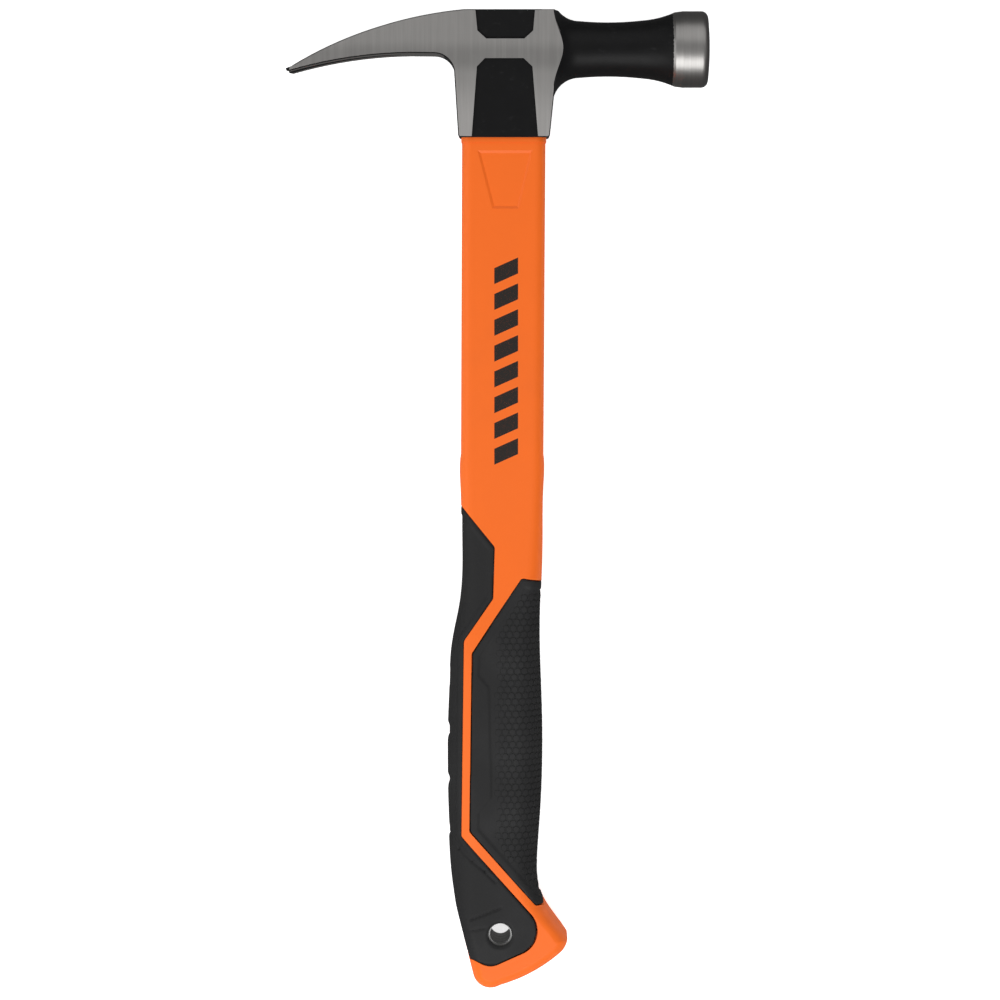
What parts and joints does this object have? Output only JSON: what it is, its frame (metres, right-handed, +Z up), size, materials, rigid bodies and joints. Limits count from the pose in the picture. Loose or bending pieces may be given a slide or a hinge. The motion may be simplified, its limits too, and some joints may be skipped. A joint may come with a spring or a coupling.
{
  "type": "claw hammer",
  "caption": "Straight-claw hammer with a long round neck, moulded handle, two-part soft grip and a lined tether hole in the butt.",
  "frame": {"origin": "on the surface the hammer lies on, under the middle of its bounding box", "axes": "+Y along the handle towards the head, +X towards the striking face, +Z up, square to the ground cheek of the head"},
  "size_m": [0.164, 0.381, 0.0296],
  "materials": {
    "forged_steel": "ground cheeks and face, black painted elsewhere",
    "fiberglass": "glass fibre in resin",
    "resin": "cast resin",
    "orange_shell": "satin moulded",
    "soft_grip": "matte moulded",
    "bushing_metal": "satin"
  },
  "bodies": {
    "root": {"head": "forged_steel", "fiberglass_core": "fiberglass", "eye_epoxy": "resin", "handle_jacket": "orange_shell", "grip_claw_side": "soft_grip", "grip_face_side": "soft_grip", "tether_bushing": "bushing_metal"}
  },
  "joints": []
}
